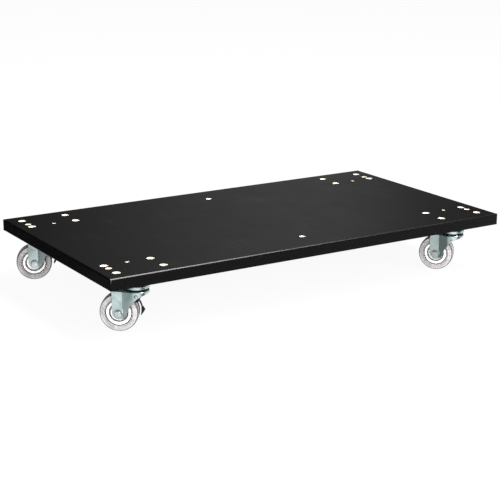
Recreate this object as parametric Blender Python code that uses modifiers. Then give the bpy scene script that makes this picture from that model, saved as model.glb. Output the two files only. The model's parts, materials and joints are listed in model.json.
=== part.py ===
"""Furniture dolly: a black laminated board on four swivel casters.

The left-hand pair of casters has wheel brakes. Origin: on the floor under the middle of the deck.
Axes: +X along the deck's length, -Y towards its front side, +Z up. Sizes are in metres.

A caster is drawn in its own frame: origin on the floor under its swivel axis, +X the way it leads,
so its wheel trails at -X, and +Y along its axle. An empty on the swivel axis turns that frame.
"""

from math import acos, atan2, cos, hypot, pi, radians, sin

import bmesh
import bpy
from mathutils import Matrix, Vector

MM = 0.001
GAP = 0.3 * MM  # left between two pieces that rest on one another
ROUND_STEPS = 20  # facets of a large turned shape
SCREW_SIDES = 8
AXLE_STEPS = 12
RIVET_STEPS = 10
MERGE = 0.01 * MM

# Deck
DECK_LENGTH = 1000 * MM
DECK_WIDTH = 543 * MM
DECK_THICKNESS = 26 * MM
CASTER_HEIGHT = 110 * MM
DECK_TOP = CASTER_HEIGHT + DECK_THICKNESS
LAMINATE = 0.9 * MM
EDGE_BAND = 3 * MM
EDGE_ROUND = 2.5 * MM

# Drilled holes of one corner: from the deck's end, from its side, radius, corners of the drawn circle
CORNER_HOLES = (
    (32 * MM, 36.5 * MM, 8.75 * MM, 12),
    (32 * MM, 92.5 * MM, 8.75 * MM, 12),
    (138 * MM, 36.5 * MM, 8.75 * MM, 12),
    (138 * MM, 92.5 * MM, 8.75 * MM, 12),
    (32 * MM, 71 * MM, 7.25 * MM, 10),
    (85 * MM, 92.5 * MM, 4.75 * MM, 8),
)
MIDDLE_HOLE = (71.5 * MM, 7.25 * MM, 10)  # from the long side, radius, corners of the drawn circle

# Where the casters stand, and how far each is turned at rest
SWIVEL_FROM_END = 86 * MM
SWIVEL_FROM_SIDE = 58 * MM
CASTERS = {
    "front_left": (-1, -1, -37.5),
    "rear_left": (-1, 1, -24.2),
    "front_right": (1, -1, -51.5),
    "rear_right": (1, 1, -35.0),
}
BRAKED = ("front_left", "rear_left")

# Mount plate and its pressed cup
PLATE_LENGTH = 84 * MM
PLATE_WIDTH = 57 * MM
PLATE_THICKNESS = 3 * MM
PLATE_CORNER = 6 * MM
PLATE_TOP = CASTER_HEIGHT - GAP
PLATE_BOTTOM = PLATE_TOP - PLATE_THICKNESS
CUP_RADIUS = 27.5 * MM
CUP_RIM = CASTER_HEIGHT - 18 * MM
CUP_CEILING = CASTER_HEIGHT - 7.2 * MM
SCREW_PITCH_X = 68 * MM
SCREW_PITCH_Y = 42 * MM
SCREW_RADIUS = 2.3 * MM
SCREW_HOLE = 2.7 * MM
SCREW_HEAD = 4.8 * MM
SCREW_HEAD_HEIGHT = 2.6 * MM
SCREW_TIP = CASTER_HEIGHT + 15 * MM

# Swivel bearing and king pin
BALLS = 8
BALL_SIDES = 6
BALL_RINGS = 4
BALL_RADIUS = 3 * MM
BALL_PITCH = 17 * MM
BALL_HEIGHT = CASTER_HEIGHT - 10.7 * MM
CAGE_HALF_WIDTH = 1.7 * MM
CAGE_HALF_HEIGHT = 0.9 * MM
PIN_RADIUS = 6 * MM
PIN_STEPS = 16
PIN_BORE = 6.4 * MM
PIN_HEAD = 8.7 * MM
PIN_HEAD_BORE = 9.1 * MM
PIN_HEAD_SEAT = PLATE_TOP - 2 * MM

# Fork: a pressed shell, 3 mm thick
SHEET = 3 * MM
CROWN_RADIUS = 27 * MM
CROWN_TOP = CASTER_HEIGHT - 21 * MM
CROWN_ROUND = 3 * MM
LEG_OUTER = 21 * MM
LEG_REAR = -47 * MM
LEG_CREASE = -25.7 * MM
LEG_END_X = -31.5 * MM
LEG_END_Z = 43 * MM
LEG_END_RADIUS = 15.5 * MM
SKIRT_EDGE = ((-11, 54.5), (-4.8, 62.4), (2.5, 71), (11, 77.5), (32, 83.5))  # mm, leg to crown
RACE_FOOT = 22 * MM
RACE_TOP_RADIUS = 20.3 * MM
RACE_TOP = CASTER_HEIGHT - 14.2 * MM

# Wheel and axle
WHEEL_RADIUS = 40 * MM
TRAIL = 34.5 * MM
WHEEL_STEPS = 24
AXLE_RADIUS = 4 * MM
AXLE_HOLE = 4.4 * MM
SLEEVE_RADIUS = 6 * MM
HUB_BORE = 6.4 * MM
HUB_HALF = 17.4 * MM
HEX_RADIUS = 7.5 * MM
BOLT_HEAD_HEIGHT = 5.3 * MM
NUT_HEIGHT = 6.5 * MM
BOLT_END = 29 * MM
TYRE_INNER = 29.3 * MM
RIM_OUTER = TYRE_INNER - GAP

# Wheel brake
BRAKE_PIVOT = Vector((3.5 * MM, 0, 78.5 * MM))
BRAKE_PIN_RADIUS = 2.2 * MM
BRAKE_PIN_HOLE = 2.55 * MM
BRAKE_PIN_HEAD = 3.5 * MM
BRAKE_PIN_HALF = 28.5 * MM
BRAKE_HUB = 4.2 * MM
BRAKE_HALF_WIDTH = 13 * MM
STRAP_HALF_WIDTH = 4 * MM
TOE_HALF_WIDTH = 6 * MM

# Outlines of the pedal: millimetres outside the tread, and degrees about the wheel's axis
SHOE_OUTLINE = ((12.8, 37), (7.8, 31), (6.2, 30), (0.8, 33), (0.8, 40))
STRAP_OUTLINE = (
    *((7.8, angle) for angle in (35, 29, 23, 17, 10)),
    *((6.2, angle) for angle in (10, 17, 23, 29, 35)),
)
TOE_OUTLINE = (
    *((7.8, 13), (11.6, 4.4), (11.2, 2.8), (8.8, -1), (6.4, -5.2), (4.8, -8)),
    *((4.0, -7.6), (4.9, 0), (5.4, 5), (6.2, 13)),
)

# Material: colour, roughness, metallic
FINISHES = {
    "wood": ((0.78, 0.62, 0.42), 0.7, 0.0),
    "black_laminate": ((0.018, 0.018, 0.019), 0.4, 0.0),
    "black_edging": ((0.012, 0.012, 0.013), 0.35, 0.0),
    "zinc": ((0.68, 0.75, 0.75), 0.35, 1.0),
    "steel": ((0.6, 0.61, 0.62), 0.3, 1.0),
    "white_plastic": ((0.86, 0.86, 0.85), 0.4, 0.0),
    "grey_tyre": ((0.6, 0.58, 0.57), 0.6, 0.0),
    "black_plastic": ((0.015, 0.015, 0.016), 0.45, 0.0),
}


# ---------------------------------------------------------------- scene


def clear_scene():
    for item in list(bpy.data.objects):
        bpy.data.objects.remove(item, do_unlink=True)
    for group in list(bpy.data.collections):
        bpy.data.collections.remove(group)


def new_collection(name):
    group = bpy.data.collections.new(name)
    bpy.context.scene.collection.children.link(group)
    return group


def make_material(name, finish):
    colour, roughness, metallic = FINISHES[finish]
    made = bpy.data.materials.new(name)
    made.use_nodes = True
    shader = made.node_tree.nodes["Principled BSDF"]
    shader.inputs["Base Color"].default_value = (*colour, 1.0)
    shader.inputs["Roughness"].default_value = roughness
    shader.inputs["Metallic"].default_value = metallic
    return made


def add_object(name, mesh, group):
    item = bpy.data.objects.new(name, mesh)
    group.objects.link(item)
    return item


def add_empty(name, group, place=(0, 0, 0), turn=0.0, parent=None):
    item = add_object(name, None, group)
    item.empty_display_size = 0.02
    item.location = place
    item.rotation_euler = (0, 0, turn)
    item.parent = parent
    return item


def baked(item):
    """The object's evaluated mesh; the object itself is removed."""
    bpy.context.view_layer.update()
    graph = bpy.context.evaluated_depsgraph_get()
    mesh = bpy.data.meshes.new_from_object(item.evaluated_get(graph))
    mesh.transform(item.matrix_world)
    bpy.data.objects.remove(item, do_unlink=True)
    return mesh


# ---------------------------------------------------------------- shapes


def mesh_from(build, name="shape"):
    """A mesh object in the work collection, filled by build(bm)."""
    mesh = bpy.data.meshes.new(name)
    bm = bmesh.new()
    build(bm)
    bm.to_mesh(mesh)
    bm.free()
    return add_object(name, mesh, work)


def box(size, centre):
    def build(bm):
        matrix = Matrix.Translation(centre) @ Matrix.Diagonal((*size, 1))
        bmesh.ops.create_cube(bm, size=1, matrix=matrix)

    return mesh_from(build)


def add_rod(bm, radius, low, high, corners, place=(0, 0)):
    matrix = Matrix.Translation((place[0], place[1], (low + high) / 2))
    bmesh.ops.create_cone(
        bm,
        cap_ends=True,
        segments=corners,
        radius1=radius,
        radius2=radius,
        depth=high - low,
        matrix=matrix,
    )


def rod(radius, low, high, corners, place=(0, 0)):
    return mesh_from(lambda bm: add_rod(bm, radius, low, high, corners, place))


def cross_rod(radius, half, corners, x, z):
    """A cylinder along Y, centred on the XZ plane."""
    item = rod(radius, -half, half, corners)
    item.data.transform(Matrix.Translation((x, 0, z)) @ Matrix.Rotation(-pi / 2, 4, "X"))
    return item


def turned(profile, steps, closed=False):
    """A profile of (radius, height) points, top to bottom on the outer side, turned about Z."""
    mesh = bpy.data.meshes.new("profile")
    edges = [(i, i + 1) for i in range(len(profile) - 1)]
    if closed:
        edges.append((len(profile) - 1, 0))
    mesh.from_pydata([(r, 0, z) for r, z in profile], edges, [])
    item = add_object("turned", mesh, work)
    screw = item.modifiers.new("turn", "SCREW")
    screw.steps = screw.render_steps = steps
    screw.use_merge_vertices = True
    screw.merge_threshold = MERGE
    return add_object("turned", baked(item), work)


def outline_solid(points, half):
    """A flat outline in XY made a solid from -half to +half."""
    curve = bpy.data.curves.new("outline", "CURVE")
    curve.dimensions = "2D"
    curve.fill_mode = "BOTH"
    curve.extrude = half
    curve.resolution_u = 1
    curve.render_resolution_u = 0
    spline = curve.splines.new("POLY")
    spline.points.add(len(points) - 1)
    for point, (x, y) in zip(spline.points, points):
        point.co = (x, y, 0, 1)
    spline.use_cyclic_u = True
    mesh = baked(add_object("outline", curve, work))
    bm = bmesh.new()
    bm.from_mesh(mesh)
    bmesh.ops.remove_doubles(bm, verts=bm.verts, dist=MERGE)
    bmesh.ops.dissolve_limit(bm, angle_limit=radians(1), verts=bm.verts, edges=bm.edges)
    bmesh.ops.recalc_face_normals(bm, faces=bm.faces)
    bm.to_mesh(mesh)
    bm.free()
    return add_object("outline", mesh, work)


def side_solid(points, half):
    """A flat outline in XZ made a solid from -half to +half along Y."""
    item = outline_solid(points, half)
    item.data.transform(Matrix.Rotation(pi / 2, 4, "X"))
    return item


def arc(x, y, radius, start, end, count):
    """Points of an arc, from one angle to another in degrees."""
    angles = [radians(start + (end - start) * i / count) for i in range(count + 1)]
    return [(x + radius * cos(a), y + radius * sin(a)) for a in angles]


def combine(item, other, operation):
    """Joins or cuts item with other, and removes other."""
    change = item.modifiers.new(operation, "BOOLEAN")
    change.operation = operation
    change.solver = "EXACT"
    change.object = other
    result = add_object(item.name, baked(item), work)
    bpy.data.objects.remove(other, do_unlink=True)
    return result


def cut(item, *others):
    for other in others:
        item = combine(item, other, "DIFFERENCE")
    return item


def round_edges(item, wanted, width, segments):
    """Bevels the edges that wanted(edge) picks."""
    bm = bmesh.new()
    bm.from_mesh(item.data)
    edges = [e for e in bm.edges if wanted(e)]
    bmesh.ops.bevel(bm, geom=edges, offset=width, segments=segments, profile=0.5, affect="EDGES")
    bm.to_mesh(item.data)
    bm.free()
    return item


def finished(item, name, smooth=True):
    """The finished mesh of a shape, and its working object removed."""
    mesh = item.data
    mesh.name = name
    if smooth:
        mesh.shade_smooth()
        mesh.set_sharp_from_angle(angle=radians(35))
    bpy.data.objects.remove(item, do_unlink=True)
    return mesh


def place(name, mesh, finish, parent=None, at=(0, 0, 0)):
    """One named piece of the dolly."""
    item = add_object(name, mesh, parts)
    item.parent = parent
    item.location = at
    mesh.materials.clear()
    mesh.materials.append(materials[finish])
    return item


# ---------------------------------------------------------------- deck


def swivel_place(side_x, side_y):
    return (
        side_x * (DECK_LENGTH / 2 - SWIVEL_FROM_END),
        side_y * (DECK_WIDTH / 2 - SWIVEL_FROM_SIDE),
    )


def deck_holes():
    """Every hole drilled through the deck: x, y, radius, corners of the drawn circle."""
    holes = []
    for side_y in (-1, 1):
        for side_x in (-1, 1):
            for from_end, from_side, radius, corners in CORNER_HOLES:
                x = side_x * (DECK_LENGTH / 2 - from_end)
                y = side_y * (DECK_WIDTH / 2 - from_side)
                holes.append((x, y, radius, corners))
        from_side, radius, corners = MIDDLE_HOLE
        holes.append((0, side_y * (DECK_WIDTH / 2 - from_side), radius, corners))
    return holes


def screw_places():
    """Where the mount plates' screws stand, caster by caster."""
    for caster, (side_x, side_y, _) in CASTERS.items():
        x, y = swivel_place(side_x, side_y)
        corners = ((1, 1), (1, -1), (-1, -1), (-1, 1))
        yield caster, [(x + i * SCREW_PITCH_X / 2, y + j * SCREW_PITCH_Y / 2) for i, j in corners]


def drill(item, holes, name):
    """Cuts (x, y, radius, low, high, corners) holes with one cutter, which stays in its collection."""

    def build(bm):
        for x, y, radius, low, high, corners in holes:
            add_rod(bm, radius, low, high, corners, (x, y))

    cutter = mesh_from(build, name)
    work.objects.unlink(cutter)
    cutters.objects.link(cutter)
    cutter.hide_render = True
    cutter.display_type = "WIRE"
    change = item.modifiers.new("holes", "BOOLEAN")
    change.operation = "DIFFERENCE"
    change.solver = "EXACT"
    change.object = cutter


def make_sheet(name, low, high, finish):
    """One layer of the deck, inside the edge bands."""
    length = DECK_LENGTH - 2 * (EDGE_BAND + GAP)
    width = DECK_WIDTH - 2 * (EDGE_BAND + GAP)
    shape = box((length, width, high - low), (0, 0, (low + high) / 2))
    return place(name, finished(shape, name, smooth=False), finish)


def make_edge_band(name, length, centre, along_x, outward):
    """A strip with its two outer long edges rounded; outward is +1 or -1 along its thin axis."""
    thin = 1 if along_x else 0
    size = [EDGE_BAND, EDGE_BAND, DECK_THICKNESS]
    size[1 - thin] = length
    shape = box(size, centre)
    face = centre[thin] + outward * EDGE_BAND / 2

    def outer_long(edge):
        ends = [v.co for v in edge.verts]
        level = abs(ends[0].z - ends[1].z) < MERGE
        return level and all(abs(p[thin] - face) < MERGE for p in ends)

    round_edges(shape, outer_long, EDGE_ROUND, 3)
    place(name, finished(shape, name), "black_edging")


def make_deck():
    bottom = CASTER_HEIGHT
    core = make_sheet("deck_core", bottom + LAMINATE + GAP, DECK_TOP - LAMINATE - GAP, "wood")
    top = make_sheet("top_laminate", DECK_TOP - LAMINATE, DECK_TOP, "black_laminate")
    underside = make_sheet("underside_laminate", bottom, bottom + LAMINATE, "black_laminate")

    through = [(x, y, r, bottom - MM, DECK_TOP + MM, n) for x, y, r, n in deck_holes()]
    screws = [p for _, places in screw_places() for p in places]
    pilots = [(x, y, SCREW_HOLE, bottom - MM, SCREW_TIP + GAP, SCREW_SIDES) for x, y in screws]
    drill(core, through + pilots, "core_hole_cutter")
    drill(top, through, "top_hole_cutter")
    drill(underside, through + pilots, "underside_hole_cutter")

    middle = bottom + DECK_THICKNESS / 2
    long_y = (DECK_WIDTH - EDGE_BAND) / 2
    end_x = (DECK_LENGTH - EDGE_BAND) / 2
    end_length = DECK_WIDTH - 2 * (EDGE_BAND + GAP)
    make_edge_band("edge_band_front", DECK_LENGTH, (0, -long_y, middle), True, -1)
    make_edge_band("edge_band_rear", DECK_LENGTH, (0, long_y, middle), True, 1)
    make_edge_band("edge_band_left", end_length, (-end_x, 0, middle), False, -1)
    make_edge_band("edge_band_right", end_length, (end_x, 0, middle), False, 1)


# ---------------------------------------------------------------- swivel head


def mount_plate_mesh():
    """A flat plate with rounded corners and a deep pressed cup under it."""
    shape = box(
        (PLATE_LENGTH, PLATE_WIDTH, PLATE_THICKNESS), (0, 0, (PLATE_TOP + PLATE_BOTTOM) / 2)
    )

    def upright(edge):
        return abs(edge.verts[0].co.z - edge.verts[1].co.z) > PLATE_THICKNESS / 2

    round_edges(shape, upright, PLATE_CORNER, 3)
    wall = 2.4 * MM
    cup = turned(
        [
            (PIN_BORE - 0.1 * MM, PLATE_BOTTOM + MM),
            (CUP_RADIUS - 5.5 * MM, PLATE_BOTTOM + MM),
            (CUP_RADIUS - 5.5 * MM, PLATE_BOTTOM - 0.5 * MM),
            (CUP_RADIUS, CUP_RIM + 6 * MM),
            (CUP_RADIUS, CUP_RIM),
            (CUP_RADIUS - wall, CUP_RIM),
            (CUP_RADIUS - wall, CUP_RIM + 5 * MM),
            (CUP_RADIUS - 6 * MM, CUP_CEILING),
            (PIN_BORE - 0.1 * MM, CUP_CEILING),
        ],
        ROUND_STEPS,
        closed=True,
    )
    shape = combine(shape, cup, "UNION")
    shape = cut(
        shape,
        rod(PIN_BORE, CUP_RIM, PLATE_TOP + MM, PIN_STEPS),
        rod(PIN_HEAD_BORE, PIN_HEAD_SEAT, PLATE_TOP + MM, PIN_STEPS),
    )
    for i in (-1, 1):
        for j in (-1, 1):
            at = (i * SCREW_PITCH_X / 2, j * SCREW_PITCH_Y / 2)
            shape = cut(shape, rod(SCREW_HOLE + GAP, PLATE_BOTTOM - MM, PLATE_TOP + MM, SCREW_SIDES, at))
    return finished(shape, "mount_plate")


def ball_ring_mesh():
    """Bearing balls held in a thin cage."""
    cage = turned(
        [
            (BALL_PITCH - CAGE_HALF_WIDTH, BALL_HEIGHT + CAGE_HALF_HEIGHT),
            (BALL_PITCH + CAGE_HALF_WIDTH, BALL_HEIGHT + CAGE_HALF_HEIGHT),
            (BALL_PITCH + CAGE_HALF_WIDTH, BALL_HEIGHT - CAGE_HALF_HEIGHT),
            (BALL_PITCH - CAGE_HALF_WIDTH, BALL_HEIGHT - CAGE_HALF_HEIGHT),
        ],
        2 * BALLS,
        closed=True,
    )

    def build(bm):
        for i in range(BALLS):
            turn = 2 * pi * i / BALLS
            at = Vector((BALL_PITCH * cos(turn), BALL_PITCH * sin(turn), BALL_HEIGHT))
            bmesh.ops.create_uvsphere(
                bm,
                u_segments=BALL_SIDES,
                v_segments=BALL_RINGS,
                radius=BALL_RADIUS,
                matrix=Matrix.Translation(at),
            )

    return finished(combine(cage, mesh_from(build), "UNION"), "ball_ring")


def kingpin_mesh():
    """A rivet through the plate and the fork, headed at both ends."""
    low = CROWN_TOP - SHEET - GAP
    top = PLATE_TOP - GAP
    shape = turned(
        [
            (0, top),
            (PIN_HEAD, top),
            (PIN_HEAD, PIN_HEAD_SEAT + GAP),
            (PIN_RADIUS, PIN_HEAD_SEAT + GAP),
            (PIN_RADIUS, low),
            (PIN_HEAD, low),
            (PIN_HEAD, low - 1.4 * MM),
            (PIN_HEAD - 1.2 * MM, low - 2.2 * MM),
            (0, low - 2.2 * MM),
        ],
        PIN_STEPS,
    )
    return finished(shape, "kingpin")


def screw_mesh():
    """A pan-head wood screw, pointing up, its origin under its head."""
    seat = -GAP
    length = SCREW_TIP - PLATE_BOTTOM
    shape = turned(
        [
            (0, length),
            (SCREW_RADIUS, length - 4 * MM),
            (SCREW_RADIUS, seat),
            (SCREW_HEAD, seat),
            (SCREW_HEAD * 0.85, seat - SCREW_HEAD_HEIGHT * 0.8),
            (0, seat - SCREW_HEAD_HEIGHT),
        ],
        SCREW_SIDES,
    )
    return finished(shape, "mount_screw")


# ---------------------------------------------------------------- fork


def fork_plan(radius, half, rear):
    """The shell seen from above: straight legs, then flared tangents onto the round crown."""
    reach = hypot(LEG_CREASE, half)
    touch = (atan2(half, LEG_CREASE) - acos(radius / reach)) * 180 / pi
    front = arc(0, 0, radius, -touch, touch, 16)
    return [(rear, -half), (LEG_CREASE, -half), *front, (LEG_CREASE, half), (rear, half)]


def fork_side():
    """The shell seen from the side: round leg ends, and a skirt rising to the crown's front."""
    leg_end = arc(LEG_END_X, LEG_END_Z, LEG_END_RADIUS, 180, 350, 12)
    skirt = [(x * MM, z * MM) for x, z in SKIRT_EDGE]
    over = CROWN_TOP + 10 * MM
    return [(LEG_REAR, over), *leg_end, *skirt, (skirt[-1][0], over)]


def lifted(item, height):
    item.data.transform(Matrix.Translation((0, 0, height)))
    return item


def fork_mesh():
    """The pressed fork: legs, skirt and crown in one sheet, with the raised lower ball race."""
    low = LEG_END_Z - LEG_END_RADIUS - 5 * MM
    half_height = (CROWN_TOP - low) / 2
    outer = outline_solid(fork_plan(CROWN_RADIUS, LEG_OUTER, LEG_REAR), half_height)
    lifted(outer, low + half_height)

    def crown_rim(edge):
        ends = [v.co for v in edge.verts]
        at_top = all(abs(p.z - CROWN_TOP) < MERGE for p in ends)
        at_rear = all(abs(p.x - LEG_REAR) < MERGE for p in ends)
        return at_top and len(edge.link_faces) == 2 and not at_rear and edge.calc_face_angle(0) > 0.5

    round_edges(outer, crown_rim, CROWN_ROUND, 3)
    inner = outline_solid(
        fork_plan(CROWN_RADIUS - SHEET, LEG_OUTER - SHEET, LEG_REAR - 10 * MM), half_height
    )
    lifted(inner, low + half_height - SHEET)
    shell = cut(outer, inner)
    race = turned(
        [
            (PIN_BORE - 0.4 * MM, RACE_TOP),
            (RACE_TOP_RADIUS, RACE_TOP),
            (RACE_FOOT, CROWN_TOP - MM),
            (PIN_BORE - 0.4 * MM, CROWN_TOP - MM),
        ],
        ROUND_STEPS,
        closed=True,
    )
    shell = combine(shell, race, "UNION")
    shell = combine(shell, side_solid(fork_side(), LEG_OUTER + 20 * MM), "INTERSECT")
    shell = cut(
        shell,
        rod(PIN_BORE, CROWN_TOP - 2 * SHEET, RACE_TOP + MM, PIN_STEPS),
        cross_rod(AXLE_HOLE, LEG_OUTER + 10 * MM, AXLE_STEPS, -TRAIL, WHEEL_RADIUS),
        cross_rod(BRAKE_PIN_HOLE, LEG_OUTER + 10 * MM, RIVET_STEPS, BRAKE_PIVOT.x, BRAKE_PIVOT.z),
    )
    return finished(shell, "fork")


# ---------------------------------------------------------------- wheel and axle


def mirrored_profile(upper):
    """A closed profile from its upper half, listed from the bore outwards."""
    return upper + [(r, -z) for r, z in reversed(upper)]


def across(item):
    """Turns a shape made about Z so that it lies along the axle."""
    item.data.transform(Matrix.Rotation(-pi / 2, 4, "X"))
    return item


def wheel_rim_mesh():
    """Hub, recessed web, raised ring and the seat of the tyre, with a groove round the ring."""
    upper = [
        (HUB_BORE, HUB_HALF),
        (10.8 * MM, HUB_HALF),
        (12 * MM, 8.5 * MM),
        (18.6 * MM, 8.5 * MM),
        (19.8 * MM, 13.6 * MM),
        (26 * MM, 13.6 * MM),
        (RIM_OUTER, 11 * MM),
    ]
    return finished(across(turned(mirrored_profile(upper), WHEEL_STEPS, closed=True)), "wheel_rim")


def tyre_mesh():
    """A solid tyre with rounded shoulders."""
    upper = [
        (TYRE_INNER, 13.8 * MM),
        (33 * MM, 15.8 * MM),
        (37.4 * MM, 15.2 * MM),
        (39.4 * MM, 12.8 * MM),
        (WHEEL_RADIUS, 9 * MM),
    ]
    return finished(across(turned(mirrored_profile(upper), WHEEL_STEPS, closed=True)), "tyre")


def hexagon(radius, low, high):
    return rod(radius, low, high, 6)


def axle_bolt_mesh():
    """A hexagon bolt with its spacer sleeve, head at -Y."""
    inside = LEG_OUTER - SHEET - GAP
    seat = -LEG_OUTER - GAP
    shape = turned(
        [
            (0, BOLT_END),
            (AXLE_RADIUS - 0.6 * MM, BOLT_END),
            (AXLE_RADIUS, BOLT_END - 0.8 * MM),
            (AXLE_RADIUS, inside),
            (SLEEVE_RADIUS, inside),
            (SLEEVE_RADIUS, -inside),
            (AXLE_RADIUS, -inside),
            (AXLE_RADIUS, seat - MM),
            (0, seat - MM),
        ],
        AXLE_STEPS,
    )
    head = hexagon(HEX_RADIUS, seat - BOLT_HEAD_HEIGHT, seat)
    return finished(across(combine(shape, head, "UNION")), "axle_bolt")


def axle_nut_mesh():
    """A hexagon nut on the axle bolt's end."""
    low = LEG_OUTER + GAP
    shape = hexagon(HEX_RADIUS, low, low + NUT_HEIGHT)
    bore = rod(AXLE_HOLE, low - MM, low + NUT_HEIGHT + MM, AXLE_STEPS)
    return finished(across(cut(shape, bore)), "axle_nut")


# ---------------------------------------------------------------- brake


def brake_outline(points):
    """Points given outside the tread and about the wheel's axis, in the brake pivot's frame."""
    result = []
    for outside, angle in points:
        radius = WHEEL_RADIUS + outside * MM
        x = radius * cos(radians(angle)) - TRAIL - BRAKE_PIVOT.x
        z = radius * sin(radians(angle)) + WHEEL_RADIUS - BRAKE_PIVOT.z
        result.append((x, z))
    return result


def brake_pedal_mesh():
    """A lever round the tread: a wide hub with its shoe, a narrow curved strap, and a toe to step on."""
    hub = arc(0, 0, BRAKE_HUB, 200, -20, 10)
    shape = side_solid([*hub, *brake_outline(SHOE_OUTLINE)], BRAKE_HALF_WIDTH)
    shape = combine(shape, side_solid(brake_outline(STRAP_OUTLINE), STRAP_HALF_WIDTH), "UNION")
    shape = combine(shape, side_solid(brake_outline(TOE_OUTLINE), TOE_HALF_WIDTH), "UNION")
    bore = cross_rod(BRAKE_PIN_HOLE, BRAKE_HALF_WIDTH + MM, RIVET_STEPS, 0, 0)
    return finished(cut(shape, bore), "brake_pedal")


def brake_pin_mesh():
    """The rivet on which the brake pedal turns."""
    seat = CROWN_RADIUS + GAP
    upper = [
        (0, BRAKE_PIN_HALF),
        (BRAKE_PIN_HEAD * 0.8, BRAKE_PIN_HALF),
        (BRAKE_PIN_HEAD, seat + 0.4 * MM),
        (BRAKE_PIN_HEAD, seat),
        (BRAKE_PIN_RADIUS, seat),
    ]
    return finished(across(turned(mirrored_profile(upper), RIVET_STEPS)), "brake_pivot_pin")


# ---------------------------------------------------------------- assembly


def make_casters():
    plate = mount_plate_mesh()
    balls = ball_ring_mesh()
    pin = kingpin_mesh()
    fork = fork_mesh()
    rim = wheel_rim_mesh()
    tyre = tyre_mesh()
    bolt = axle_bolt_mesh()
    nut = axle_nut_mesh()
    pedal = brake_pedal_mesh()
    pivot = brake_pin_mesh()
    axle = (-TRAIL, 0, WHEEL_RADIUS)
    for caster, (side_x, side_y, turn) in CASTERS.items():
        x, y = swivel_place(side_x, side_y)
        swivel = add_empty(caster + "_swivel_axis", parts, (x, y, 0), radians(turn))
        place(caster + "_mount_plate", plate, "zinc", at=(x, y, 0))
        place(caster + "_kingpin", pin, "steel", at=(x, y, 0))
        place(caster + "_ball_ring", balls, "steel", swivel)
        place(caster + "_fork", fork, "zinc", swivel)
        place(caster + "_wheel_rim", rim, "white_plastic", swivel, axle)
        place(caster + "_tyre", tyre, "grey_tyre", swivel, axle)
        place(caster + "_axle_bolt", bolt, "steel", swivel, axle)
        place(caster + "_axle_nut", nut, "steel", swivel, axle)
        if caster in BRAKED:
            place(caster + "_brake_pedal", pedal, "black_plastic", swivel, BRAKE_PIVOT)
            place(caster + "_brake_pivot_pin", pivot, "steel", swivel, BRAKE_PIVOT)


def make_screws():
    mesh = screw_mesh()
    for caster, places in screw_places():
        for number, (x, y) in enumerate(places, 1):
            place(f"{caster}_screw_{number}", mesh, "steel", at=(x, y, PLATE_BOTTOM))


clear_scene()
parts = new_collection("furniture_dolly")
cutters = new_collection("cutters")
work = new_collection("work")
materials = {finish: make_material(finish, finish) for finish in FINISHES}
make_deck()
make_casters()
make_screws()
bpy.data.collections.remove(work)
bpy.context.view_layer.update()
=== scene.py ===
"""Looks of the furniture dolly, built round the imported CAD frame. Sizes are in metres.

Deck pieces are drawn in the frame's own axes. Caster pieces are drawn once, in a caster's own axes
(origin on the floor under the swivel axis, +X the way it leads, +Y along the axle), and then placed
at each caster. Wheel pieces have their origin in the middle of the axle, and +Y along it.
"""

import json

from math import acos, atan2, cos, degrees, hypot, pi, radians, sin, tan

import bmesh
import bpy
from mathutils import Matrix, Vector


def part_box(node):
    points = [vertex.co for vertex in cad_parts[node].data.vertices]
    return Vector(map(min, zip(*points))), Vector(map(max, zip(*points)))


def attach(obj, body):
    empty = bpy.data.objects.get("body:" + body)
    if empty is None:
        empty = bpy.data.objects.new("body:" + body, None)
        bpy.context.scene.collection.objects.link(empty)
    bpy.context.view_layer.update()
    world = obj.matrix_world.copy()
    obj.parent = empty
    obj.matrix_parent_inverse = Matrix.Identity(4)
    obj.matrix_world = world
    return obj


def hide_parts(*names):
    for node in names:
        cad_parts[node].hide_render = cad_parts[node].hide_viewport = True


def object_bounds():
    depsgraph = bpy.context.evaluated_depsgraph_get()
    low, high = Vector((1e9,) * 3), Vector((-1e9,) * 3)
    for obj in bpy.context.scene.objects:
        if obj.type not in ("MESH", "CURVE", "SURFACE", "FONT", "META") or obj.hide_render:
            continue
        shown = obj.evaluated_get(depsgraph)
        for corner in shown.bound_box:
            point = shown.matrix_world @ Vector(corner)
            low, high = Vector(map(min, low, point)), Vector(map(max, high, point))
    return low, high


MM = 0.001
SLIVER = 0.002 * MM
UP = Vector((0, 0, 1))

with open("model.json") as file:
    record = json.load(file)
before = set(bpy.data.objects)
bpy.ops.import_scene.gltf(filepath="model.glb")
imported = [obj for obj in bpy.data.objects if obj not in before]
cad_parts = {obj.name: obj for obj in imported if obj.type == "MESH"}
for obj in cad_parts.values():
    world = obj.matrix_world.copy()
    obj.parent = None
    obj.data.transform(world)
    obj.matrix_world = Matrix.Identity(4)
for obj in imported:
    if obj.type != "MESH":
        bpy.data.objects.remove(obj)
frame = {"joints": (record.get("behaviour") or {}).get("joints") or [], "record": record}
cad_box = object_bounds()
joints = {joint["name"]: joint for joint in frame["joints"]}
CASTERS = sorted(name[: -len("_swivel")] for name in joints if name.endswith("_swivel"))

# ---------------------------------------------------------------- sizes

DECK_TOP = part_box("top_laminate")[1].z
DECK_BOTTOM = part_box("underside_laminate")[0].z
LENGTH = cad_box[1].x - cad_box[0].x
WIDTH = cad_box[1].y - cad_box[0].y
EDGE_ROUND = 2.8 * MM

# Drilled holes of one corner: from the deck's end, from its side, radius
CORNER_HOLES = (
    (32 * MM, 36.5 * MM, 8.75 * MM),
    (32 * MM, 92.5 * MM, 8.75 * MM),
    (138 * MM, 36.5 * MM, 8.75 * MM),
    (138 * MM, 92.5 * MM, 8.75 * MM),
    (32 * MM, 71 * MM, 7.25 * MM),
    (85 * MM, 92.5 * MM, 4.75 * MM),
)
# Hole in the middle of each long side: from that side, radius
MIDDLE_HOLE = (71.5 * MM, 7.25 * MM)
HOLE_CHAMFER = 0.45 * MM

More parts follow.
